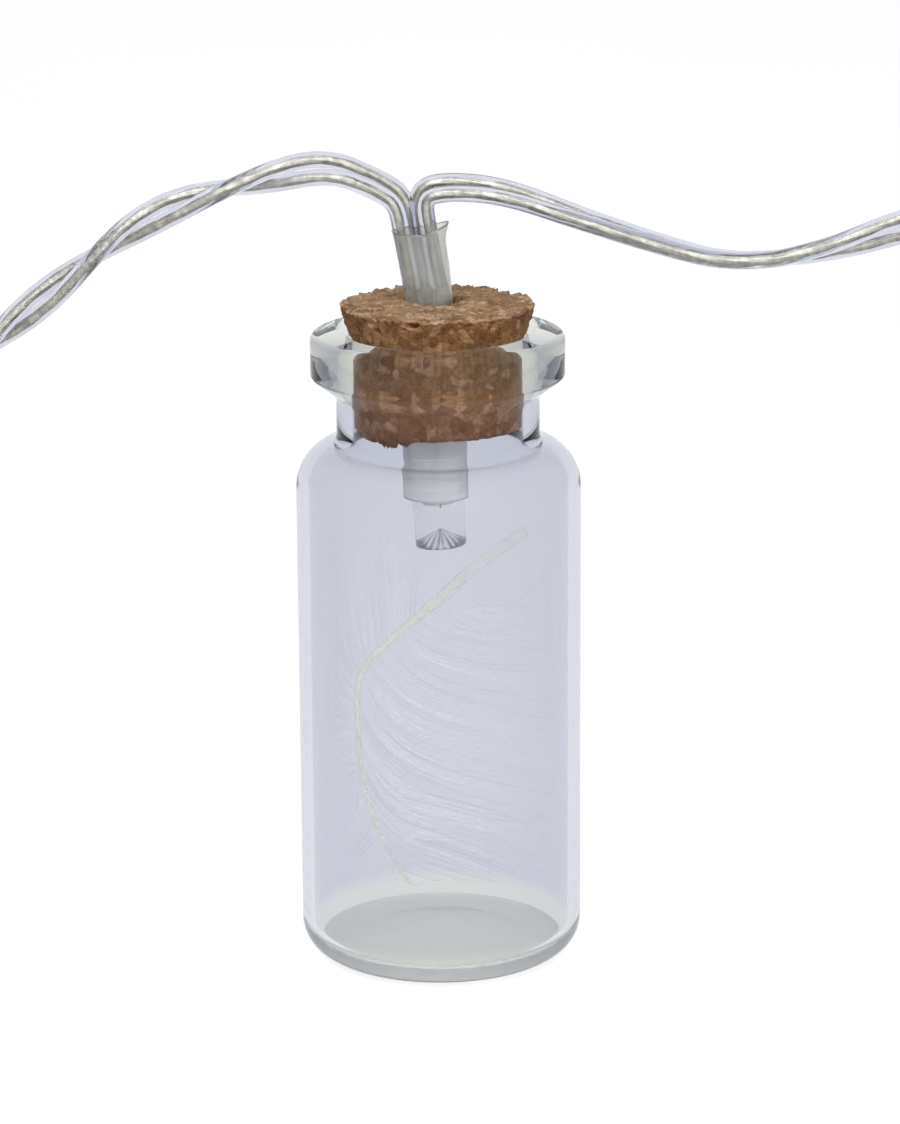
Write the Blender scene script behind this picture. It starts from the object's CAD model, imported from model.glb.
import math
import random

import bmesh
import bpy
from mathutils import Matrix, Vector, noise


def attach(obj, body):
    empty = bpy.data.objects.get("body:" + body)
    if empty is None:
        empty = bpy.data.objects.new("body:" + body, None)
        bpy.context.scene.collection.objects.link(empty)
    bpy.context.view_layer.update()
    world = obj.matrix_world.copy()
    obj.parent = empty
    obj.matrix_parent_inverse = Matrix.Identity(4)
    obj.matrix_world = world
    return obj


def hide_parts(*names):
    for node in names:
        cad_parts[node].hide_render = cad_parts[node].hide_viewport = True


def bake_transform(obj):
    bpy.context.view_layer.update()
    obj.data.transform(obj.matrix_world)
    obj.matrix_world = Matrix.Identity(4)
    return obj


# Cork bottle light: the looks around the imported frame, whose origin and axes are used here.
# Sizes are in millimetres and become metres in the meshes.

MM = 0.001
TAU = 2 * math.pi

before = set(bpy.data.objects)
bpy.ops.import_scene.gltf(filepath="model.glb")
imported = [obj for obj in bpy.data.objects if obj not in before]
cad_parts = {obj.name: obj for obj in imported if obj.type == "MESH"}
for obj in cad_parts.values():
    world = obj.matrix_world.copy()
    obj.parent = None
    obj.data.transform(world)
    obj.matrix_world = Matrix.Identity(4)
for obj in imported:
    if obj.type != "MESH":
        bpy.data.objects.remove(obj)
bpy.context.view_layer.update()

ROOT = "vial_and_battery_case"
STOPPER = "stopper_with_lamp"

# Camera, fitted to the photograph
PHOTO_HEIGHT = 1124
CAMERA_PLACE = (1.037, -383.9, 140.97)
CAMERA_PITCH = 14.946
CAMERA_ROLL = -0.365
FOCAL_PIXELS = 4172
SENSOR = 36.0
FLOOR_GAP = 0.05

# Vial
BOTTLE_HEIGHT = 60.9
BODY_RADIUS = 13.5
BODY_WALL = 1.2
BODY_HEIGHT = 46.1
SHOULDER_RADIUS = 4.6
NECK_RADIUS = 9.6
NECK_FILLET = 0.8
LIP_RADIUS = 12.0
LIP_HEIGHT = 4.1
LIP_TAPER = 1.8
BORE_RADIUS = 8.06
BASE_THICKNESS = 1.5
BASE_CORNER = 3.2
INNER_CORNER = 2.2
PUNT_RISE = 0.5
RESTING_RING = 1.3
FROSTED_RISE = 0.05
NECK_TOP_ROUND, LIP_LOWER_ROUND, LIP_OUTER_ROUND, LIP_INNER_ROUND = 1.0, 0.5, 0.7, 0.85
BORE_END, BORE_ROUND = 2, 1.6

# Cork
CORK_BOTTOM = 52.0
CORK_BOTTOM_RADIUS = 7.9
CORK_FIT_RADIUS = 8.0
CORK_FLARE = 60.4
CORK_TOP = 63.75
CORK_TOP_RADIUS = 9.2
CORK_EDGE = 0.25
HOLE_X, HOLE_Y, HOLE_RADIUS = -0.35, 2.0, 2.8
GRANULES = ((1.4, 0.13), (3.4, 0.12), (7.5, 0.07))
TORN_DEPTH, TORN_WIDTH = 0.9, 1.3
FACE_SKIN = 0.3
LUMP_X, LUMP_Y, LUMP_RADIUS, LUMP_DROP = -4.2, -5.0, 3.0, 0.95

# Sleeve: height, middle in X and radius of each station
SLEEVE_STATIONS = [
    (44.6, -0.25, 3.1), (51.05, -0.35, 3.1), (51.5, -0.35, 2.95), (51.85, -0.4, 2.55),
    (53.2, -0.45, 2.25), (63.75, -0.85, 2.25), (69.0, -1.65, 2.25), (70.5, -1.85, 2.5),
]
SLEEVE_WALL = 0.12
SKIRT_TOP = 52.2
SLEEVE_FREE, SLEEVE_MOUTH = 62.5, 69.6
PINCH_ANGLE, PINCH_WIDTH, PINCH_DEPTH = 0.95, 0.25, 0.42

# Diode
LED_PLACE = (-0.25, 2.0, 47.2)
LED_TILT = -3.5
LED_TURN = 10
LED_LENGTH = 7.4
LED_FLANGE_RADIUS, LED_FLANGE = 2.75, 1.0
LED_SHOULDER_RADIUS, LED_TIP_RADIUS = 2.6, 2.42
LED_CONE_RADIUS, LED_CONE_DEPTH = 2.15, 1.7
LED_RIDGES, LED_RIDGE_HEIGHT = 17, 0.07

# Cords: the control points repeat the route of the part's source
WIRE_DIAMETER = 1.6
WIRE_OFFSET = 0.82
CORE_RADIUS = 0.28
SUPPLY_POINTS = [
    (-1.92, 2.0, 64.8), (-2.8, 2.0, 69.9), (-3.3, 2.0, 73.0), (-5.2, 1.9, 74.4),
    (-10.2, 1.9, 76.5), (-16.5, 1.4, 75.15), (-23.5, 0.9, 73.35), (-30.0, 0.5, 69.9),
    (-40.0, 0.0, 61.7), (-49.0, 0.0, 54.0), (-53.5, 0.0, 42.0), (-54.5, 0.0, 28.0),
    (-55.2, 0.3, 13.5), (-60.5, 1.0, 4.2), (-70.0, 1.9, 2.3), (-79.0, 1.9, 2.3),
]
FEED_POINTS = [
    (-0.28, 2.0, 64.8), (-1.15, 2.0, 69.9), (-1.7, 2.0, 73.8), (1.5, 1.9, 74.35),
    (6.5, 1.9, 73.8), (13.5, 1.3, 71.3), (20.5, 0.8, 69.0), (27.5, 0.4, 67.1),
    (36.0, 0.0, 68.1), (46.0, 0.0, 71.5), (54.5, 0.0, 72.1), (61.0, 0.0, 67.5),
    (64.0, 0.0, 59.5), (64.8, 0.0, 47.0), (64.6, 0.0, 34.0), (65.3, 0.0, 21.0),
    (67.5, 0.0, 9.0), (74.5, 0.0, 2.15), (84.0, 0.0, 2.15),
]
HANK_RUNS = 5
HANK_X = -97.5
HANK_HALF = 16.0
HANK_TURN = 9.6
HANK_WAIST = 1.9
HANK_LAYER, HANK_STEP = 2.3, 3.7
HANK_TURN_POINTS = 6
BOX_FACE = -127.5
CORD_END = BOX_FACE - 2.1
CORE_STRANDS, CORE_LAY, CORE_RELIEF = 5, 5, 0.16

# Twist of each pair: degrees of the front wire's turn, against millimetres along the pair.
# 0 is in front, and positive is up.
SUPPLY_TWIST = [(0, -32), (13, -44), (19, -90), (26, -180), (33, -270), (40, -360), (47, -450)]
FEED_TWIST = [(0, -34), (10, -34), (15, -27), (25, -10), (35, 0), (43, 10), (49, 40), (56, 90)]
TWIST_RATE = 13.2

# Feather, on the vial's rear wall: angles round the vial and shares of its height
QUILL_RING = 11.3
VANE_RING = 11.75
QUILL_RADIUS, SHAFT_RADIUS, QUILL_TIP_RADIUS = 0.6, 0.34, 0.16
QUILL_BARE, QUILL_THIN = 0.16, 0.34
QUILL_PLACES = [
    (43, 0.647), (69, 0.585), (90, 0.522), (110, 0.472), (129, 0.429), (136, 0.397),
    (137, 0.339), (135, 0.265), (129, 0.184), (118, 0.1), (106, 0.04),
]
RIGHT_EDGE = [
    (28, 0.6), (15, 0.5), (9, 0.40), (10, 0.3), (16, 0.22), (30, 0.175), (48, 0.145),
    (70, 0.122), (92, 0.118),
]
LEFT_EDGE = [
    (104, 0.60), (120, 0.64), (138, 0.62), (150, 0.56), (158, 0.49), (161, 0.41), (160, 0.32),
    (154, 0.265), (138, 0.243),
]
LOW_LEFT_EDGE = [(134, 0.17), (146, 0.16), (147, 0.125), (136, 0.08), (120, 0.055), (107, 0.04)]
LOW_RIGHT_EDGE = [(100, 0.05), (80, 0.042), (58, 0.045), (40, 0.058), (28, 0.09), (19, 0.155)]

# Light
WORLD_LIGHT, FLOOR_LIGHT = 0.44, 0.86
LAMP_TARGET = (0, 0, 0.04)


# Meshes

def place(point):
    return Vector(point) * MM


def mesh_object(name, vertices, faces, material, smooth=True):
    mesh = bpy.data.meshes.new(name)
    mesh.from_pydata([tuple(v) for v in vertices], [], faces)
    mesh.validate()
    mesh.update()
    piece = bpy.data.objects.new(name, mesh)
    bpy.context.scene.collection.objects.link(piece)
    if material is not None:
        mesh.materials.append(material)
    if smooth:
        mesh.polygons.foreach_set("use_smooth", [True] * len(mesh.polygons))
    return piece


def arc(x, z, radius, start, end, steps):
    """Points of an arc in the XZ plane, with its angles in degrees."""
    points = []
    for i in range(steps + 1):
        angle = math.radians(start + (end - start) * i / steps)
        points.append((x + radius * math.cos(angle), z + radius * math.sin(angle)))
    return points


def straight(start, end, steps):
    return [
        (start[0] + (end[0] - start[0]) * i / steps, start[1] + (end[1] - start[1]) * i / steps)
        for i in range(steps + 1)
    ]


def rounded(corners, steps=6):
    """Points of an open outline whose corners (x, z, radius) are rounded."""
    points = [corners[0][:2]]
    for before, corner, after in zip(corners, corners[1:], corners[2:]):
        p = Vector(corner[:2])
        come, go = Vector(before[:2]) - p, Vector(after[:2]) - p
        radius = corner[2]
        if radius <= 0:
            points.append(tuple(p))
            continue
        half = come.angle(go) / 2
        reach = radius / math.tan(half)
        start, end = p + come.normalized() * reach, p + go.normalized() * reach
        centre = p + (come.normalized() + go.normalized()).normalized() * (radius / math.sin(half))
        first, last = start - centre, end - centre
        sweep = first.angle_signed(last)
        for i in range(steps + 1):
            turn = Matrix.Rotation(-sweep * i / steps, 2)
            points.append(tuple(centre + turn @ first))
    points.append(corners[-1][:2])
    return points


def without_repeats(points):
    kept = [points[0]]
    for p in points[1:]:
        if (Vector(p) - Vector(kept[-1])).length > 1e-4:
            kept.append(p)
    return kept


def revolve(name, profile, material, segments, shape=None):
    """Turn (radius, height) points about Z. Points on the axis become one vertex."""
    profile = without_repeats(profile)
    rings, vertices, faces = [], [], []
    for radius, height in profile:
        if radius < 1e-6:
            vertices.append(place((0, 0, height)))
            rings.append([len(vertices) - 1])
            continue
        ring = []
        for s in range(segments):
            angle = TAU * s / segments
            r, z = (radius, height) if shape is None else shape(radius, height, angle)
            ring.append(len(vertices))
            vertices.append(place((r * math.cos(angle), r * math.sin(angle), z)))
        rings.append(ring)
    for low, high in zip(rings, rings[1:]):
        for s in range(segments):
            n = (s + 1) % segments
            if len(low) == 1 and len(high) > 1:
                faces.append((low[0], high[n], high[s]))
            elif len(high) == 1 and len(low) > 1:
                faces.append((low[s], low[n], high[0]))
            elif len(low) > 1:
                faces.append((low[s], low[n], high[n], high[s]))
    piece = mesh_object(name, vertices, faces, material)
    outward(piece)
    return piece


def outward(piece):
    """Turn the faces of a closed mesh outwards."""
    bm = bmesh.new()
    bm.from_mesh(piece.data)
    bmesh.ops.recalc_face_normals(bm, faces=bm.faces)
    bm.to_mesh(piece.data)
    bm.free()


def frames_along(path, first_side):
    """Direction and two sides at each point of a path, carried along without turning."""
    frames = []
    side = Vector(first_side)
    count = len(path)
    for i in range(count):
        way = (path[min(i + 1, count - 1)] - path[max(i - 1, 0)]).normalized()
        side = (side - way * side.dot(way)).normalized()
        frames.append((way, side, way.cross(side)))
    return frames


def swept(name, paths, radii, material, sides, lumps=None):
    """One mesh with a capped round tube along each path. A radius may be a function of share."""
    vertices, faces = [], []
    for path, radius in zip(paths, radii):
        first = path[1] - path[0]
        side = Vector((0, -1, 0)) if abs(first.normalized().y) < 0.9 else Vector((0, 0, 1))
        start = len(vertices)
        frames = frames_along(path, side)
        for i, (point, (_, a, b)) in enumerate(zip(path, frames)):
            share = i / (len(path) - 1)
            r = radius(share) if callable(radius) else radius
            for s in range(sides):
                angle = TAU * s / sides
                grow = 1 if lumps is None else lumps(angle, share)
                offset = a * math.cos(angle) + b * math.sin(angle)
                vertices.append(point + offset * (r * MM * grow))
        for i in range(len(path) - 1):
            for s in range(sides):
                n = (s + 1) % sides
                low, high = start + i * sides, start + (i + 1) * sides
                faces.append((low + s, low + n, high + n, high + s))
        faces.append([start + s for s in reversed(range(sides))])
        last = start + (len(path) - 1) * sides
        faces.append([last + s for s in range(sides)])
    piece = mesh_object(name, vertices, faces, material)
    outward(piece)
    return piece


# Materials

def srgb(red, green, blue):
    """Colour written as 0 to 255 values, as light."""
    parts = []
    for value in (red, green, blue):
        value /= 255
        parts.append(value / 12.92 if value <= 0.04045 else ((value + 0.055) / 1.055) ** 2.4)
    return (*parts, 1.0)


class Paint:
    """Short names for building one material's nodes."""

    def __init__(self, name):
        self.material = bpy.data.materials.new(name)
        self.material.use_nodes = True
        self.nodes = self.material.node_tree.nodes
        self.links = self.material.node_tree.links
        self.shader = self.nodes["Principled BSDF"]
        self.output = self.nodes["Material Output"]
        self.coordinates = self.add("ShaderNodeTexCoord").outputs["Object"]

    def add(self, kind, **settings):
        node = self.nodes.new(kind)
        for name, value in settings.items():
            setattr(node, name, value)
        return node

    def set(self, **values):
        for name, value in values.items():
            self.shader.inputs[name.replace("_", " ")].default_value = value

    def link(self, source, target):
        self.links.new(source, target)

    def feed(self, value, target):
        """Give an input a number, a colour or another node's output."""
        if isinstance(value, (int, float, tuple)):
            target.default_value = value
        else:
            self.link(value, target)

    def stretched(self, z):
        """Coordinates for a pattern drawn out along Z when z is less than 1."""
        mapping = self.add("ShaderNodeMapping")
        mapping.inputs["Scale"].default_value = (1, 1, z)
        self.link(self.coordinates, mapping.inputs["Vector"])
        return mapping.outputs["Vector"]

    def noise(self, scale, detail=4, roughness=0.55, vector=None, output="Fac"):
        node = self.add("ShaderNodeTexNoise")
        node.inputs["Scale"].default_value = scale
        node.inputs["Detail"].default_value = detail
        node.inputs["Roughness"].default_value = roughness
        self.link(vector or self.coordinates, node.inputs["Vector"])
        return node.outputs[output]

    def cells(self, scale, output, vector, feature="F1"):
        node = self.add("ShaderNodeTexVoronoi", feature=feature)
        node.inputs["Scale"].default_value = scale
        self.link(vector, node.inputs["Vector"])
        return node.outputs[output]

    def upright(self, source):
        """The Z part of a vector."""
        node = self.add("ShaderNodeSeparateXYZ")
        self.link(source, node.inputs["Vector"])
        return node.outputs["Z"]

    def ramp(self, source, *stops):
        node = self.add("ShaderNodeValToRGB")
        elements = node.color_ramp.elements
        while len(elements) < len(stops):
            elements.new(0.5)
        for element, (position, colour) in zip(elements, stops):
            element.position = position
            element.color = colour if len(colour) == 4 else (*colour, 1)
        self.link(source, node.inputs["Fac"])
        return node.outputs["Color"]

    def grey(self, source, low, high, start=0.0, end=1.0):
        """Map source's start to end onto low to high."""
        node = self.add("ShaderNodeMapRange")
        limits = {"From Min": start, "From Max": end, "To Min": low, "To Max": high}
        for name, value in limits.items():
            node.inputs[name].default_value = value
        self.link(source, node.inputs["Value"])
        return node.outputs["Result"]

    def mix(self, factor, first, second, blend="MIX"):
        node = self.add("ShaderNodeMix", data_type="RGBA", blend_type=blend)
        for value, name in ((factor, "Factor"), (first, "A"), (second, "B")):
            self.feed(value, node.inputs[name])
        return node.outputs["Result"]

    def math(self, operation, first, second):
        node = self.add("ShaderNodeMath", operation=operation)
        for value, target in zip((first, second), node.inputs):
            self.feed(value, target)
        return node.outputs["Value"]

    def bump(self, height, distance, strength=1.0):
        node = self.add("ShaderNodeBump")
        node.inputs["Strength"].default_value = strength
        node.inputs["Distance"].default_value = distance * MM
        self.link(height, node.inputs["Height"])
        self.link(node.outputs["Normal"], self.shader.inputs["Normal"])

    def colour(self, source):
        self.link(source, self.shader.inputs["Base Color"])

    def rough(self, source):
        self.link(source, self.shader.inputs["Roughness"])

    def lamp_light(self, tint):
        """Let lamp light through to what is behind."""
        path = self.add("ShaderNodeLightPath")
        clear = self.add("ShaderNodeBsdfTransparent")
        clear.inputs["Color"].default_value = tint
        mixed = self.add("ShaderNodeMixShader")
        self.link(path.outputs["Is Shadow Ray"], mixed.inputs["Fac"])
        self.link(self.shader.outputs["BSDF"], mixed.inputs[1])
        self.link(clear.outputs["BSDF"], mixed.inputs[2])
        self.link(mixed.outputs["Shader"], self.output.inputs["Surface"])

    def absorb(self, colour, density):
        node = self.add("ShaderNodeVolumeAbsorption")
        node.inputs["Color"].default_value = colour
        node.inputs["Density"].default_value = density
        self.link(node.outputs["Volume"], self.output.inputs["Volume"])


def vial_glass_material(name, roughness, clearness):
    p = Paint(name)
    p.set(Roughness=roughness, IOR=1.17, Transmission_Weight=clearness)
    height = p.grey(p.upright(p.coordinates), 0.0, 1.0, 0.0, BOTTLE_HEIGHT * MM)
    body, foot = (0.802, 0.812, 0.853, 1), (0.93, 0.935, 0.85, 1)
    neck, lip = (0.74, 0.75, 0.81, 1), (1.0, 1.0, 0.84, 1)
    p.colour(p.ramp(
        height, (0.0, foot), (0.03, foot), (0.06, body), (0.80, body),
        (0.83, neck), (0.90, neck), (0.94, lip), (1.0, lip),
    ))
    ripples = p.noise(260, detail=2, vector=p.stretched(0.25))
    p.bump(ripples, 0.02, 0.25)
    p.lamp_light((0.88, 0.88, 0.92, 1))
    p.absorb((0.28, 0.32, 0.44, 1), 70)
    return p.material


def cork_material():
    p = Paint("cork")
    sway = p.noise(900, detail=2, roughness=0.5, output="Color")
    shrunk = p.add("ShaderNodeVectorMath", operation="SCALE")
    shrunk.inputs["Scale"].default_value = 0.0011
    p.link(sway, shrunk.inputs["Vector"])
    swayed = p.add("ShaderNodeVectorMath", operation="ADD")
    p.link(p.coordinates, swayed.inputs[0])
    p.link(shrunk.outputs["Vector"], swayed.inputs[1])
    warped = swayed.outputs["Vector"]
    granules = p.cells(1050, "Color", warped)
    split = p.add("ShaderNodeSeparateColor")
    p.link(granules, split.inputs["Color"])
    tone = p.ramp(
        split.outputs["Red"],
        (0.0, srgb(122, 92, 66)), (0.3, srgb(148, 118, 88)), (0.65, srgb(166, 136, 106)),
        (1.0, srgb(186, 157, 126)),
    )
    fine = p.noise(3000, detail=6, roughness=0.72)
    dots = p.ramp(fine, (0.33, (0.34, 0.29, 0.25)), (0.62, (1.0, 1.0, 1.0)))
    tone = p.mix(0.75, tone, dots, "MULTIPLY")
    gaps = p.cells(1050, "Distance", warped, "DISTANCE_TO_EDGE")
    seams = p.grey(gaps, 1.0, 0.0, 0.0, 0.14)
    tone = p.mix(p.math("MULTIPLY", seams, 0.3), tone, srgb(96, 66, 42))
    specks = p.grey(p.noise(1300, detail=4, roughness=0.75), 0.0, 1.0, 0.60, 0.70)
    tone = p.mix(p.math("MULTIPLY", specks, 0.8), tone, srgb(78, 48, 30))
    patches = p.grey(p.noise(330, detail=3), 0.0, 0.45, 0.52, 0.68)
    tone = p.mix(patches, tone, srgb(112, 84, 60))
    facing = p.upright(p.add("ShaderNodeNewGeometry").outputs["Normal"])
    side, top = (1.12, 0.92, 0.72), (1.36, 1.34, 1.33)
    tints = p.ramp(p.grey(facing, 0.0, 1.0, 0.1, 0.8), (0.0, side), (1.0, top))
    tone = p.mix(1.0, tone, tints, "MULTIPLY")
    held = p.grey(p.upright(p.coordinates), 0.0, 1.0, 50 * MM, 62 * MM)
    in_neck, in_lip, free = (0.94, 0.94, 0.98), (0.60, 0.645, 0.92), (1.0, 1.0, 1.0)
    zones = p.ramp(
        held, (0.0, in_neck), (0.5, in_neck), (0.6, in_lip), (0.85, in_lip), (0.93, free))
    tone = p.mix(1.0, tone, zones, "MULTIPLY")
    p.colour(tone)
    p.set(Roughness=0.85, Specular_IOR_Level=0.25)
    relief = p.math("ADD", p.math("MULTIPLY", fine, 0.9), p.grey(gaps, 0.0, 0.3, 0.0, 0.14))
    p.bump(relief, 0.2, 1.0)
    return p.material


def insulation_material():
    p = Paint("clear_insulation")
    p.set(Base_Color=(0.65, 0.67, 0.755, 1), Roughness=0.08, IOR=1.42, Transmission_Weight=1.0)
    p.bump(p.noise(700, detail=3), 0.03, 0.3)
    p.lamp_light((0.86, 0.87, 0.92, 1))
    return p.material


def core_material():
    p = Paint("stranded_core")
    wave = p.noise(1800, detail=3, roughness=0.5)
    p.colour(p.ramp(wave, (0.3, srgb(150, 146, 130)), (0.7, srgb(206, 203, 184))))
    p.set(Metallic=0.6, Roughness=0.36)
    p.bump(wave, 0.05, 0.6)
    return p.material


def sleeve_material(name, clearness, dark, light):
    p = Paint(name)
    streaks = p.noise(420, detail=4, vector=p.stretched(0.12))
    p.colour(p.ramp(streaks, (0.3, dark), (0.7, light)))
    p.set(Roughness=0.2, IOR=1.4, Transmission_Weight=clearness)
    p.bump(streaks, 0.05, 0.5)
    p.lamp_light((0.8, 0.8, 0.8, 1))
    return p.material


def epoxy_material():
    p = Paint("clear_epoxy")
    p.set(Base_Color=(0.93, 0.93, 0.93, 1), Roughness=0.02, IOR=1.4, Transmission_Weight=0.88)
    p.bump(p.noise(900, detail=2), 0.01, 0.2)
    p.lamp_light((0.9, 0.9, 0.9, 1))
    return p.material


def tinned_material():
    p = Paint("tinned_steel")
    grain = p.noise(1500, detail=4, vector=p.stretched(0.2))
    p.colour(p.ramp(grain, (0.3, srgb(196, 196, 192)), (0.7, srgb(236, 236, 230))))
    p.set(Metallic=0.8)
    p.rough(p.grey(grain, 0.25, 0.45))
    p.bump(grain, 0.01, 0.3)
    return p.material


def solid_material(name, dark, light, roughness, specular, scale, relief, metallic):
    """Plain moulded or painted surface with a fine grain."""
    p = Paint(name)
    grain = p.noise(scale, detail=6, roughness=0.6)
    p.colour(p.ramp(grain, (0.3, dark), (0.7, light)))
    p.set(Metallic=metallic, Specular_IOR_Level=specular)
    p.rough(p.grey(p.noise(scale / 6, detail=3), roughness * 0.85, roughness * 1.15))
    p.bump(grain, relief, 0.5)
    return p.material


def barb_material(name, opacity, dark, light, glow):
    """Thin, nearly clear keratin that scatters a little light."""
    p = Paint(name)
    fleck = p.noise(1200, detail=3)
    p.colour(p.ramp(fleck, (0.3, dark), (0.7, light)))
    p.set(Roughness=0.6, Emission_Color=(0.95, 0.96, 0.92, 1), Emission_Strength=glow)
    p.link(p.grey(fleck, opacity * 0.6, opacity * 1.4, 0.3, 0.7), p.shader.inputs["Alpha"])
    return p.material


def quill_material():
    p = Paint("quill")
    mottle = p.noise(300, detail=3)
    p.colour(p.ramp(mottle, (0.3, srgb(230, 228, 194)), (0.7, srgb(246, 244, 214))))
    p.set(
        Roughness=0.35, Transmission_Weight=0.6, IOR=1.1,
        Emission_Color=(0.93, 0.95, 0.82, 1), Emission_Strength=0.05,
    )
    fade = p.grey(p.upright(p.coordinates), 1.0, 0.5, 31 * MM, 36 * MM)
    patchy = p.grey(p.noise(500, detail=3), 0.22, 0.46, 0.35, 0.65)
    p.link(p.math("MULTIPLY", fade, patchy), p.shader.inputs["Alpha"])
    p.bump(p.noise(1500, detail=2), 0.02, 0.3)
    return p.material


# Vial

def glass_profile():
    """Closed outline of the glass wall, from the middle of the foot round to the floor."""
    shoulder_x = BODY_RADIUS - SHOULDER_RADIUS
    fillet_x = NECK_RADIUS + NECK_FILLET
    reach = SHOULDER_RADIUS + NECK_FILLET
    fillet_z = BODY_HEIGHT + math.sqrt(reach ** 2 - (fillet_x - shoulder_x) ** 2)
    lean = math.degrees(math.atan2(fillet_z - BODY_HEIGHT, fillet_x - shoulder_x))
    foot_outer = BODY_RADIUS - BASE_CORNER
    foot_inner = foot_outer - RESTING_RING
    lip_bottom = BOTTLE_HEIGHT - LIP_HEIGHT
    neck_top = lip_bottom - LIP_TAPER
    punt_radius = (foot_inner ** 2 + PUNT_RISE ** 2) / (2 * PUNT_RISE)
    punt_angle = math.degrees(math.asin(foot_inner / punt_radius))
    foot = arc(0, PUNT_RISE - punt_radius, punt_radius, 90, 90 - punt_angle, 12)
    outer = foot + straight((foot_inner, 0), (foot_outer, 0), 2)
    outer += arc(foot_outer, BASE_CORNER, BASE_CORNER, -90, 0, 20)
    outer += straight((BODY_RADIUS, BASE_CORNER), (BODY_RADIUS, BODY_HEIGHT), 40)
    outer += arc(shoulder_x, BODY_HEIGHT, SHOULDER_RADIUS, 0, lean, 22)
    outer += arc(fillet_x, fillet_z, NECK_FILLET, lean + 180, 180, 8)
    outer += rounded([
        (NECK_RADIUS, fillet_z, 0), (NECK_RADIUS, neck_top, NECK_TOP_ROUND),
        (LIP_RADIUS, lip_bottom, LIP_LOWER_ROUND), (LIP_RADIUS, BOTTLE_HEIGHT, LIP_OUTER_ROUND),
        (BORE_RADIUS, BOTTLE_HEIGHT, LIP_INNER_ROUND), (BORE_RADIUS, BOTTLE_HEIGHT - BORE_END, 0),
    ])
    inner_turn = SHOULDER_RADIUS - BODY_WALL
    inner_radius = BODY_RADIUS - BODY_WALL
    under_x, under_z = arc(shoulder_x, BODY_HEIGHT, inner_turn, 80, 0, 1)[0]
    corner_x, corner_z = inner_radius - INNER_CORNER, BASE_THICKNESS + INNER_CORNER
    inner = rounded([
        (BORE_RADIUS, BOTTLE_HEIGHT - BORE_END, 0), (BORE_RADIUS, under_z + 0.25, BORE_ROUND),
        (under_x, under_z, 0),
    ], steps=14)[:-1]
    inner += arc(shoulder_x, BODY_HEIGHT, inner_turn, 78, 0, 20)
    inner += straight((inner_radius, BODY_HEIGHT), (inner_radius, corner_z), 40)
    inner += arc(corner_x, corner_z, INNER_CORNER, 0, -90, 14)
    inner += straight((corner_x, BASE_THICKNESS), (0, BASE_THICKNESS), 12)
    return outer + inner


def build_vial():
    glass = vial_glass_material("vial_glass", 0.0, 1.0)
    piece = revolve("vial_glass", glass_profile(), glass, segments=192)
    piece.data.materials.append(vial_glass_material("vial_foot", 0.3, 0.35))
    for face in piece.data.polygons:
        if face.center.z < (PUNT_RISE + FROSTED_RISE) * MM:
            face.material_index = 1
    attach(piece, ROOT)
    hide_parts("glass_bottle")


# Cork

def cork_side_radius(height):
    if height < CORK_FLARE:
        share = (height - CORK_BOTTOM) / (CORK_FLARE - CORK_BOTTOM)
        return CORK_BOTTOM_RADIUS + (CORK_FIT_RADIUS - CORK_BOTTOM_RADIUS) * share
    share = (height - CORK_FLARE) / (CORK_TOP - CORK_FLARE)
    return CORK_FIT_RADIUS + (CORK_TOP_RADIUS - CORK_FIT_RADIUS) * share ** 0.65


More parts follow.
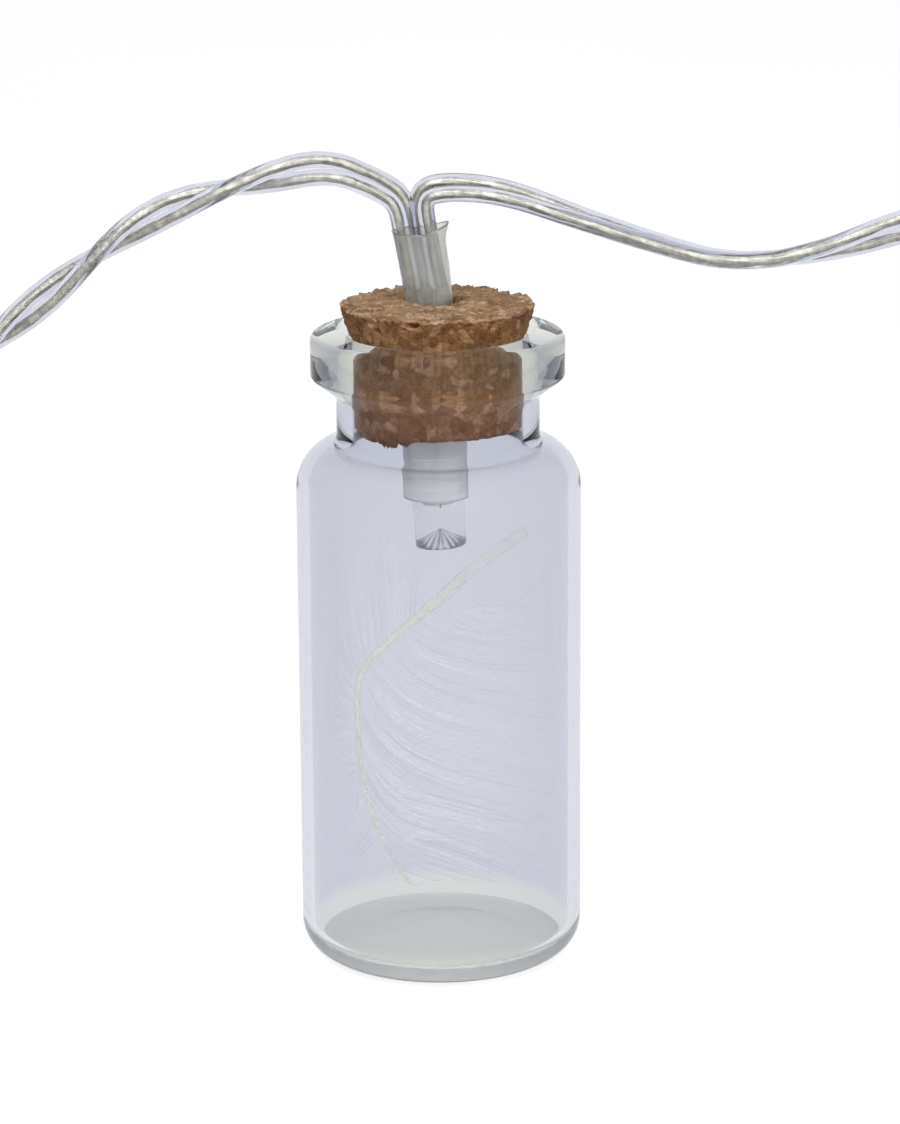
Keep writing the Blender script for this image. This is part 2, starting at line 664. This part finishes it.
def build_cork():
    segments, face_rings, edge_rings, side_rings, hole_rings = 260, 18, 4, 52, 24
    vertices, faces, rings = [], [], []

    def ring_at(radius, height, share):
        """Ring between the hole's circle (share 0) and the cork's own circle (share 1)."""
        ring = []
        for s in range(segments):
            angle = TAU * s / segments
            x, y = math.cos(angle), math.sin(angle)
            hole = Vector((HOLE_X + HOLE_RADIUS * x, HOLE_Y + HOLE_RADIUS * y))
            spot = hole.lerp(Vector((radius * x, radius * y)), share)
            ring.append(len(vertices))
            vertices.append(Vector((spot.x, spot.y, height)))
        rings.append(ring)

    for i in range(face_rings):
        ring_at(CORK_TOP_RADIUS, CORK_TOP, i / face_rings)
    low_edge, high_edge = CORK_BOTTOM + CORK_EDGE, CORK_TOP - CORK_EDGE
    for i in range(edge_rings):
        angle = math.pi / 2 * i / edge_rings
        radius = CORK_TOP_RADIUS - CORK_EDGE + CORK_EDGE * math.sin(angle)
        ring_at(radius, high_edge + CORK_EDGE * math.cos(angle), 1)
    for i in range(side_rings):
        height = high_edge + (low_edge - high_edge) * i / (side_rings - 1)
        ring_at(cork_side_radius(height), height, 1)
    for i in range(1, face_rings):
        ring_at(CORK_BOTTOM_RADIUS - CORK_EDGE, CORK_BOTTOM, 1 - i / face_rings)
    for i in range(hole_rings):
        ring_at(0, CORK_BOTTOM + (CORK_TOP - CORK_BOTTOM) * i / hole_rings, 0)
    for low, high in zip(rings, rings[1:] + rings[:1]):
        for s in range(segments):
            n = (s + 1) % segments
            faces.append((low[s], low[n], high[n], high[s]))

    def chewed(v):
        """Uneven granules, torn rims and the lump that hangs from the lower face."""
        radius = math.hypot(v.x, v.y)
        push = sum(noise.noise(v * scale) * depth for scale, depth in GRANULES) - 0.05
        out = Vector((v.x, v.y, 0)).normalized() if radius > 0.1 else Vector()
        new = v.copy()
        near_top = max(0.0, 1 - (CORK_TOP - v.z) / TORN_DEPTH)
        near_rim = 0
        if v.z > CORK_FLARE:
            near_rim = max(0.0, 1 - abs(radius - CORK_TOP_RADIUS) / TORN_WIDTH)
        bite = max(0.0, noise.noise(Vector((v.x, v.y, 0)) * 0.75) - 0.12)
        if v.z > CORK_BOTTOM + FACE_SKIN:
            new -= out * (near_top * near_rim * bite * 2.6)
            new.z -= near_top * near_rim * bite * 1.6
        if v.z > CORK_TOP - FACE_SKIN:
            new.z += push * 1.5 - 0.1
        if radius > cork_side_radius(v.z) - 0.4 and v.z > CORK_FLARE:
            pit = max(0.0, noise.noise(v * 2.2 + Vector((3, 9, 4))) - 0.25)
            new += out * (push * 1.1 - pit * 0.9)
        elif radius > CORK_BOTTOM_RADIUS - 0.5:
            new += out * min(push * 0.3, 0.0)
        if v.z < CORK_BOTTOM + FACE_SKIN:
            new.z += push * 0.8
            torn = math.hypot(v.x - LUMP_X, v.y - LUMP_Y)
            if torn < LUMP_RADIUS:
                crumbs = 0.8 + noise.noise(v * 1.9) * 0.9 + noise.noise(v * 5.5) * 0.7
                new.z -= (1 - torn / LUMP_RADIUS) ** 0.8 * LUMP_DROP * max(crumbs, 0.1)
                new.x += noise.noise(v * 4.0 + Vector((7, 0, 0))) * 0.25
        return new

    vertices = [chewed(v) * MM for v in vertices]
    piece = mesh_object("cork_body", vertices, faces, cork_material())
    outward(piece)
    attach(piece, STOPPER)
    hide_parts("cork_stopper")


# Sleeve

def sleeve_at(height):
    """Middle in X and radius of the sleeve."""
    for low, high in zip(SLEEVE_STATIONS, SLEEVE_STATIONS[1:]):
        if height <= high[0]:
            share = (height - low[0]) / (high[0] - low[0])
            return low[1] + (high[1] - low[1]) * share, low[2] + (high[2] - low[2]) * share
    return SLEEVE_STATIONS[-1][1:]


def build_sleeve():
    segments, levels = 96, 90
    low, high = SLEEVE_STATIONS[0][0], SLEEVE_STATIONS[-1][0]
    vertices, faces = [], []

    def spot(level, s, inner):
        share = level / levels
        angle = TAU * s / segments
        right = max(0.0, math.cos(angle)) ** 3
        top = high - 0.35 + 0.85 * right
        height = low + (top - low) * share
        x, radius = sleeve_at(min(height, high))
        wobble = noise.noise(Vector((math.cos(angle) * 1.5, math.sin(angle) * 1.5, height * 0.35)))
        radius += wobble * 0.05 - (SLEEVE_WALL if inner else 0)
        free = min(max((height - SLEEVE_FREE) / 4, 0), 1)
        from_right = abs((angle + math.pi) % TAU - math.pi)
        pinch = math.exp(-((from_right - PINCH_ANGLE) / PINCH_WIDTH) ** 2)
        radius += free * (0.22 * right - PINCH_DEPTH * pinch)
        radius += 0.25 * right * min(max((height - SLEEVE_MOUTH) / 1.4, 0), 1)
        return place((x + radius * math.cos(angle), HOLE_Y + radius * math.sin(angle), height))

    for inner in (False, True):
        for level in range(levels + 1):
            for s in range(segments):
                vertices.append(spot(level, s, inner))
    shell = (levels + 1) * segments
    for s in range(segments):
        n = (s + 1) % segments
        for level in range(levels):
            a, b = level * segments, (level + 1) * segments
            faces.append((a + s, a + n, b + n, b + s))
            faces.append((shell + a + n, shell + a + s, shell + b + s, shell + b + n))
        faces.append((s, shell + s, shell + n, n))
        top = levels * segments
        faces.append((top + s, top + n, shell + top + n, shell + top + s))
    tube = sleeve_material("shrunk_sleeve", 0.86, srgb(212, 212, 210), srgb(240, 240, 236))
    skirt = sleeve_material("sleeve_skirt", 0.5, srgb(228, 227, 225), srgb(250, 249, 246))
    piece = mesh_object("sleeve_tube", vertices, faces, tube)
    outward(piece)
    piece.data.materials.append(skirt)
    for face in piece.data.polygons:
        if face.center.z < SKIRT_TOP * MM:
            face.material_index = 1
    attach(piece, STOPPER)
    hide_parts("wire_sleeve")


# Diode

def led_matrix():
    return (
        Matrix.Translation(place(LED_PLACE))
        @ Matrix.Rotation(math.radians(LED_TILT), 4, "Y")
        @ Matrix.Rotation(math.radians(LED_TURN), 4, "Z")
    )


def build_led():
    tip = -LED_LENGTH
    profile = rounded([
        (0, 0, 0), (LED_FLANGE_RADIUS, 0, 0.15), (LED_FLANGE_RADIUS, -LED_FLANGE, 0.1),
        (LED_SHOULDER_RADIUS, -LED_FLANGE, 0.05), (LED_TIP_RADIUS, tip, 0.08),
        (LED_CONE_RADIUS, tip, 0.05), (0.1, tip + LED_CONE_DEPTH, 0), (0, tip + LED_CONE_DEPTH, 0),
    ], steps=4)
    fine = []
    for a, b in zip(profile, profile[1:]):
        steps = max(1, int((Vector(a) - Vector(b)).length / 0.35))
        fine += straight(a, b, steps)[:-1]
    fine.append(profile[-1])

    def ridged(radius, height, angle):
        inside = radius < LED_CONE_RADIUS and height < -3
        if inside:
            share = radius / LED_CONE_RADIUS
            height += LED_RIDGE_HEIGHT * math.sin(angle * LED_RIDGES) * share * (1 - share) * 4
        return radius, height

    piece = revolve("lamp_lens", fine, epoxy_material(), segments=136, shape=ridged)
    piece.data.transform(led_matrix())
    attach(piece, STOPPER)
    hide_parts("led_lens")


# Cords

def hank_points():
    """Control points of the hank: waist, shoulder and half turn of each run."""
    points = []
    for run in range(HANK_RUNS):
        heading = -1 if run % 2 == 0 else 1
        side = -heading
        low = HANK_LAYER + (run // 2) * HANK_STEP
        high = low + (HANK_STEP if run % 2 else 0)
        middle, rise = (low + high) / 2, (high - low) * 0.2
        waist_x, waist_y = heading * HANK_HALF * 0.28, side * HANK_WAIST * 1.12
        shoulder_x, shoulder_y = heading * HANK_HALF * 0.55, side * HANK_TURN * 0.88
        if run > 0:
            points.append((HANK_X - shoulder_x, shoulder_y, low))
        points.append((HANK_X - waist_x, waist_y, middle - rise))
        points.append((HANK_X, side * HANK_WAIST, middle))
        if run == HANK_RUNS - 1:
            break
        points.append((HANK_X + waist_x, waist_y, middle + rise))
        points.append((HANK_X + shoulder_x, shoulder_y, high))
        turn_x = HANK_X + heading * HANK_HALF
        step = math.pi / HANK_TURN_POINTS
        reach = HANK_TURN / math.cos(step / 2)
        for i in range(HANK_TURN_POINTS):
            angle = math.pi / 2 - step / 2 - step * i
            x, y = turn_x + heading * reach * math.cos(angle), side * reach * math.sin(angle)
            points.append((x, y, high))
    points.append((HANK_X - HANK_HALF * 0.6, HANK_WAIST, points[-1][2]))
    points.append((HANK_X - HANK_HALF - HANK_TURN, HANK_WAIST, points[-1][2]))
    points.append((CORD_END, HANK_WAIST, points[-1][2]))
    return points


def centreline(name, points):
    """Points of the smooth line that the control points steer, in metres."""
    curve = bpy.data.curves.new(name, "CURVE")
    curve.dimensions = "3D"
    curve.resolution_u = 24
    spline = curve.splines.new("NURBS")
    spline.points.add(len(points) - 1)
    for target, point in zip(spline.points, points):
        target.co = (*place(point), 1)
    spline.order_u = 3
    spline.use_endpoint_u = True
    carrier = bpy.data.objects.new(name, curve)
    bpy.context.scene.collection.objects.link(carrier)
    bpy.context.view_layer.update()
    mesh = bpy.data.meshes.new_from_object(carrier)
    path = [v.co.copy() for v in mesh.vertices]
    bpy.data.objects.remove(carrier)
    bpy.data.curves.remove(curve)
    bpy.data.meshes.remove(mesh)
    return path


def even(path, step):
    """The same line with evenly spaced points."""
    lengths = [0.0]
    for a, b in zip(path, path[1:]):
        lengths.append(lengths[-1] + (b - a).length)
    count = max(2, round(lengths[-1] / step))
    points, i = [], 0
    for k in range(count + 1):
        target = lengths[-1] * k / count
        while i < len(path) - 2 and lengths[i + 1] < target:
            i += 1
        span = lengths[i + 1] - lengths[i]
        share = (target - lengths[i]) / span if span > 0 else 0
        points.append(path[i].lerp(path[i + 1], min(max(share, 0), 1)))
    return points, lengths[-1]


def twist_at(table, distance):
    """Angle of the pair at a distance in millimetres, past the table at a steady rate."""
    for (d0, a0), (d1, a1) in zip(table, table[1:]):
        if distance <= d1:
            share = (distance - d0) / (d1 - d0)
            return a0 + (a1 - a0) * share
    way = -1 if table[-1][1] < 0 else 1
    return table[-1][1] + way * (distance - table[-1][0]) * 180 / TWIST_RATE


def strands(path, length, table, up):
    """The two wires' centrelines, turned about the pair's line."""
    frames = frames_along(path, (0, -1, 0))
    wires = ([], [])
    for i, (point, (_, front, side)) in enumerate(zip(path, frames)):
        distance = length * i / (len(path) - 1) / MM
        angle = math.radians(twist_at(table, distance))
        offset = front * math.cos(angle) + side * (up * math.sin(angle))
        wires[0].append(point + offset * (WIRE_OFFSET * MM))
        wires[1].append(point - offset * (WIRE_OFFSET * MM))
    return wires


def build_cord(name, points, table, up, cads, materials):
    """A twisted pair that goes over from the cork's body to the root between start and end."""
    insulation, core = materials
    path, length = even(centreline(name + "_line", points), 0.6 * MM)
    wires = strands(path, length, table, up)
    cover = swept(name, wires, [WIRE_DIAMETER / 2] * 2, insulation, sides=18)
    turns = length / (CORE_LAY * MM)

    def lumps(angle, share):
        return 1 + CORE_RELIEF * math.cos(CORE_STRANDS * angle - TAU * turns * share)

    cores = swept(name + "_cores", wires, [CORE_RADIUS] * 2, core, sides=15, lumps=lumps)
    for piece, slot in ((cover, "clear_insulation"), (cores, "copper")):
        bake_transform(piece)
    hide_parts(*cads)
    print(name, "length", round(length, 4))


def build_cords():
    materials = insulation_material(), core_material()
    build_cord(
        "supply_pair", SUPPLY_POINTS + hank_points(), SUPPLY_TWIST, 1,
        ["supply_cord", "supply_tails", "supply_cord_hank"],
        materials,
    )
    build_cord(
        "feed_pair", FEED_POINTS, FEED_TWIST, -1,
        ["feed_cord", "feed_tails"],
        materials,
    )


# Feather

def on_wall(angle, height, ring):
    way = math.radians(angle)
    return place((ring * math.cos(way), ring * math.sin(way), height))


def smooth_places(places, steps):
    """Catmull-Rom points through (angle, share) places."""
    points = []
    padded = [places[0]] + list(places) + [places[-1]]
    for p0, p1, p2, p3 in zip(padded, padded[1:], padded[2:], padded[3:]):
        for i in range(steps):
            t = i / steps
            point = []
            for a, b, c, d in zip(p0, p1, p2, p3):
                point.append(0.5 * (2 * b + (c - a) * t + (2 * a - 5 * b + 4 * c - d) * t * t
                                    + (3 * b - a - 3 * c + d) * t ** 3))
            points.append(tuple(point))
    points.append(tuple(places[-1]))
    return points


def along(places, share):
    """Place at a share of a list of (angle, share) places."""
    at = share * (len(places) - 1)
    i = min(int(at), len(places) - 2)
    t = at - i
    return tuple(a + (b - a) * t for a, b in zip(places[i], places[i + 1]))


def ribbon(vertices, faces, curve, ring, width):
    """Thin strip that follows (angle, share) places on the wall."""
    start = len(vertices)
    points = [on_wall(a, s * BOTTLE_HEIGHT, ring) for a, s in curve]
    count = len(points)
    for i, p in enumerate(points):
        way = (points[min(i + 1, count - 1)] - points[max(i - 1, 0)]).normalized()
        out = Vector((p.x, p.y, 0)).normalized()
        across = way.cross(out).normalized()
        share = i / (count - 1)
        half = width * MM / 2 * min(1, 0.3 + 3 * share) * (1 - 0.75 * share)
        vertices += [p - across * half, p + across * half]
    for i in range(count - 1):
        a = start + 2 * i
        faces.append((a, a + 1, a + 3, a + 2))


def bent(start, middle, end, steps):
    points = []
    for i in range(steps + 1):
        t = i / steps
        points.append(tuple(
            (1 - t) ** 2 * a + 2 * t * (1 - t) * b + t * t * c
            for a, b, c in zip(start, middle, end)
        ))
    return points


def sheet(vertices, faces, shaft, span, edge, lean, drop, rows=60, steps=14):
    """Faint web that joins the barbs between the shaft and an edge."""
    start = len(vertices)
    for row in range(rows + 1):
        t = row / rows
        root = along(shaft, span[0] + (span[1] - span[0]) * t)
        tip = along(edge, t)
        if lean:
            middle = (root[0] + lean, min(root[1], tip[1]) - drop * (1 - 0.6 * t))
        else:
            middle = ((root[0] + tip[0]) / 2, root[1] + (tip[1] - root[1]) * 0.25)
        for angle, share in bent(root, middle, tip, steps):
            vertices.append(on_wall(angle, share * BOTTLE_HEIGHT, VANE_RING - 0.1))
    width = steps + 1
    for row in range(rows):
        for i in range(steps):
            a = start + row * width + i
            faces.append((a, a + 1, a + width + 1, a + width))


def feather_piece(name, cad, strokes, webs):
    """Light and shaded barbs with a faint web, as one mesh. Each stroke is (curve, width)."""
    vertices, faces, kinds = [], [], []
    for i, (curve, width) in enumerate(strokes):
        ribbon(vertices, faces, curve, VANE_RING - 0.25 * (i * 0.618 % 1), width)
        kinds += [i % 5 // 3] * (len(faces) - len(kinds))
    for web in webs:
        sheet(vertices, faces, *web)
    kinds += [2] * (len(faces) - len(kinds))
    piece = mesh_object(name, vertices, faces, None, smooth=False)
    for kind, opacity, dark, light, glow in (
        ("_light", 0.11, (228, 228, 222), (250, 250, 244), 0.2),
        ("_shade", 0.08, (122, 124, 128), (156, 158, 162), 0.0),
        ("_web", 0.05, (216, 216, 212), (240, 240, 236), 0.08),
    ):
        material = barb_material(name + kind, opacity, srgb(*dark), srgb(*light), glow)
        piece.data.materials.append(material)
    piece.data.polygons.foreach_set("material_index", kinds)
    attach(piece, ROOT)
    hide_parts(cad)


def build_feather():
    rng = random.Random(11)
    shaft = smooth_places(QUILL_PLACES, 8)
    path = [on_wall(a, s * BOTTLE_HEIGHT, QUILL_RING) for a, s in shaft]

    def taper(share):
        """Full width at the bare end, then a thin shaft where the barbs stand."""
        if share < QUILL_BARE:
            return QUILL_RADIUS
        if share < QUILL_THIN:
            t = (share - QUILL_BARE) / (QUILL_THIN - QUILL_BARE)
            return QUILL_RADIUS + (SHAFT_RADIUS - QUILL_RADIUS) * t * t * (3 - 2 * t)
        slimming = QUILL_TIP_RADIUS - SHAFT_RADIUS
        return SHAFT_RADIUS + slimming * (share - QUILL_THIN) / (1 - QUILL_THIN)

    quill = swept("quill_shaft", [path], [taper], quill_material(), sides=16)
    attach(quill, ROOT)
    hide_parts("feather_quill")

    def shares(count):
        return [min(max((i + rng.uniform(-0.4, 0.4)) / count, 0), 1) for i in range(count)]

    strokes = []
    for t in shares(190):
        root, tip = along(shaft, 0.16 + 0.62 * t), along(RIGHT_EDGE, t)
        drop = (0.11 - 0.07 * t) * rng.uniform(0.5, 1.1)
        middle = (root[0] - 20 + rng.uniform(-4, 4), min(root[1], tip[1]) - drop)
        tip = (tip[0] + rng.uniform(-3, 8), tip[1] + rng.uniform(-0.012, 0.012))
        strokes.append((bent(root, middle, tip, 20)[rng.randrange(4):], rng.uniform(0.07, 0.2)))
    for t in shares(170):
        root, tip = along(shaft, 0.26 + 0.5 * t), along(LEFT_EDGE, t)
        tip = (tip[0] - rng.uniform(0, 7), tip[1] + rng.uniform(-0.012, 0.012))
        sway = rng.uniform(-0.006, 0.006)
        middle = ((root[0] + tip[0]) / 2, root[1] + (tip[1] - root[1]) * 0.2 + sway)
        strokes.append((bent(root, middle, tip, 14)[rng.randrange(4):], rng.uniform(0.08, 0.2)))
    rng.shuffle(strokes)
    feather_piece("vane_barbs", "feather_vane", strokes, [
        (shaft, (0.16, 0.78), RIGHT_EDGE, -20, 0.09),
        (shaft, (0.26, 0.76), [(a - 6, s) for a, s in LEFT_EDGE], 0, 0.0),
    ])

    strokes = []
    for edge, spread, number in ((LOW_LEFT_EDGE, 0.01, 55), (LOW_RIGHT_EDGE, 0.03, 75)):
        for t in shares(number):
            root_share = t if edge is LOW_LEFT_EDGE else 0.1 + 0.9 * (1 - t)
            root, tip = along(shaft, 0.72 + 0.26 * root_share), along(edge, t)
            middle = ((root[0] + tip[0]) / 2 + rng.uniform(-3, 3), (root[1] + tip[1]) / 2 - spread)
            curve = bent(root, middle, tip, 16)[rng.randrange(1, 6):]
            strokes.append((curve, rng.uniform(0.12, 0.3)))
    rng.shuffle(strokes)
    feather_piece("down_barbs", "feather_down", strokes, [
        (shaft, (0.72, 0.98), LOW_LEFT_EDGE, 0, 0.0),
    ])


# Carried-over pieces

# Name, dark and light colour, (roughness, specular, scale of the grain, relief, metallic), nodes
PLAIN_MATERIALS = (
    ("white_moulding", (226, 226, 223), (236, 236, 233), (0.55, 0.15, 2600, 0.02, 0.0),
     ("battery_case", "battery_cover", "case_end_lid")),
    ("black_moulding", (18, 18, 18), (30, 30, 30), (0.4, 0.5, 2600, 0.02, 0.0), ("switch_slider",)),
    ("phenolic_board", (112, 74, 40), (140, 98, 58), (0.55, 0.5, 1500, 0.02, 0.0),
     ("switch_base",)),
    ("grommet_rubber", (26, 26, 26), (38, 38, 38), (0.7, 0.5, 2200, 0.03, 0.0), ("cord_grommet",)),
    ("cell_jacket", (58, 62, 68), (74, 78, 84), (0.3, 0.5, 900, 0.01, 0.4),
     ("battery_cell_1", "battery_cell_2")),
    ("solder", (150, 150, 152), (188, 188, 190), (0.35, 0.5, 1800, 0.04, 1.0), ("splices",)),
    ("copper", (120, 84, 56), (168, 130, 96), (0.4, 0.5, 2200, 0.02, 1.0), ("switch_wiper",)),
    ("bare_strands", (60, 56, 52), (104, 98, 90), (0.4, 0.5, 2200, 0.02, 0.5),
     ("bare_conductors",)),
    ("gold_wire", (214, 170, 80), (240, 200, 110), (0.3, 0.5, 2200, 0.01, 1.0), ("bond_wire",)),
    ("resistor_lacquer", (176, 146, 100), (200, 172, 128), (0.35, 0.5, 1200, 0.02, 0.0),
     ("dropping_resistor",)),
    ("phosphor", (226, 178, 48), (242, 206, 92), (0.6, 0.5, 3000, 0.02, 0.0), ("led_phosphor",)),
    ("die", (70, 78, 84), (96, 104, 110), (0.25, 0.5, 3000, 0.01, 0.0), ("led_die",)),
    ("tie_plastic", (228, 228, 228), (240, 240, 240), (0.5, 0.5, 1600, 0.03, 0.0), ("hank_tie",)),
)
TINNED_NODES = (
    "led_cathode", "led_anode", "switch_frame", "contact_positive", "contact_negative",
    "contact_bridge",
)


def dress(node, material):
    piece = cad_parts[node]
    for slot in piece.material_slots:
        slot.material = material
    if not piece.material_slots:
        piece.data.materials.append(material)


def dress_frame():
    for name, dark, light, surface, nodes in PLAIN_MATERIALS:
        material = solid_material(name, srgb(*dark), srgb(*light), *surface)
        for node in nodes:
            dress(node, material)
    tube = sleeve_material("clear_tube", 0.86, srgb(216, 216, 215), srgb(240, 240, 238))
    for material, nodes in (
        (tinned_material(), TINNED_NODES), (tube, ("leg_insulator", "feed_end_cap")),
        (insulation_material(), ("bay_wires",)),
    ):
        for node in nodes:
            dress(node, material)


# Stage

def area_lamp(name, spot, width, height, power):
    lamp = bpy.data.lights.new(name, "AREA")
    lamp.shape = "RECTANGLE"
    lamp.size, lamp.size_y = width, height
    lamp.energy = power
    holder = bpy.data.objects.new(name, lamp)
    holder.location = spot
    way = Vector(LAMP_TARGET) - Vector(spot)
    holder.rotation_euler = way.to_track_quat("-Z", "Y").to_euler()
    bpy.context.scene.collection.objects.link(holder)


def seen_directly(nodes, links):
    """1 for rays from the camera, from gloss and through glass, else 0."""
    path = nodes.new("ShaderNodeLightPath")
    total = path.outputs["Is Camera Ray"]
    for name in ("Is Glossy Ray", "Is Transmission Ray"):
        either = nodes.new("ShaderNodeMath")
        either.operation = "MAXIMUM"
        links.new(total, either.inputs[0])
        links.new(path.outputs[name], either.inputs[1])
        total = either.outputs["Value"]
    return total


def build_stage():
    scene = bpy.context.scene
    scene.view_settings.view_transform = "Standard"
    world = bpy.data.worlds.new("studio")
    scene.world = world
    world.use_nodes = True
    nodes, links = world.node_tree.nodes, world.node_tree.links
    background = nodes["Background"]
    background.inputs["Color"].default_value = (1, 1, 1, 1)
    strength = nodes.new("ShaderNodeMapRange")
    strength.inputs["To Min"].default_value = WORLD_LIGHT
    strength.inputs["To Max"].default_value = 1.0
    links.new(seen_directly(nodes, links), strength.inputs["Value"])
    links.new(strength.outputs["Result"], background.inputs["Strength"])

    floor = mesh_object(
        "floor", [(x, y, -FLOOR_GAP * MM) for x, y in ((-3, -3), (3, -3), (3, 3), (-3, 3))],
        [(0, 1, 2, 3)], None, smooth=False)
    paper = Paint("floor_paper")
    paper.colour(paper.ramp(paper.noise(3), (0.4, (0.24, 0.24, 0.24)), (0.6, (0.26, 0.26, 0.26))))
    paper.set(Roughness=0.9, Specular_IOR_Level=0.0)
    lift = paper.add("ShaderNodeEmission")
    lift.inputs["Color"].default_value = (1, 1, 1, 1)
    glow = paper.math("MULTIPLY", seen_directly(paper.nodes, paper.links), FLOOR_LIGHT)
    paper.link(glow, lift.inputs["Strength"])
    total = paper.add("ShaderNodeAddShader")
    paper.link(paper.shader.outputs["BSDF"], total.inputs[0])
    paper.link(lift.outputs["Emission"], total.inputs[1])
    paper.link(total.outputs["Shader"], paper.output.inputs["Surface"])
    floor.data.materials.append(paper.material)

    area_lamp("key", (-0.05, -0.25, 0.55), 0.35, 0.3, 1.9)
    area_lamp("fill", (0.12, -0.5, 0.25), 0.4, 0.4, 1.15)


def build_camera():
    camera = bpy.data.cameras.new("camera")
    camera.sensor_fit = "VERTICAL"
    camera.sensor_height = SENSOR
    camera.lens = FOCAL_PIXELS / PHOTO_HEIGHT * SENSOR
    camera.clip_start = 0.01
    holder = bpy.data.objects.new("camera", camera)
    holder.matrix_world = (
        Matrix.Translation(place(CAMERA_PLACE))
        @ Matrix.Rotation(math.radians(90 - CAMERA_PITCH), 4, "X")
        @ Matrix.Rotation(math.radians(CAMERA_ROLL), 4, "Z")
    )
    bpy.context.scene.collection.objects.link(holder)
    bpy.context.scene.camera = holder


build_camera()
build_stage()
build_cords()
build_vial()
build_cork()
build_sleeve()
build_led()
build_feather()
dress_frame()
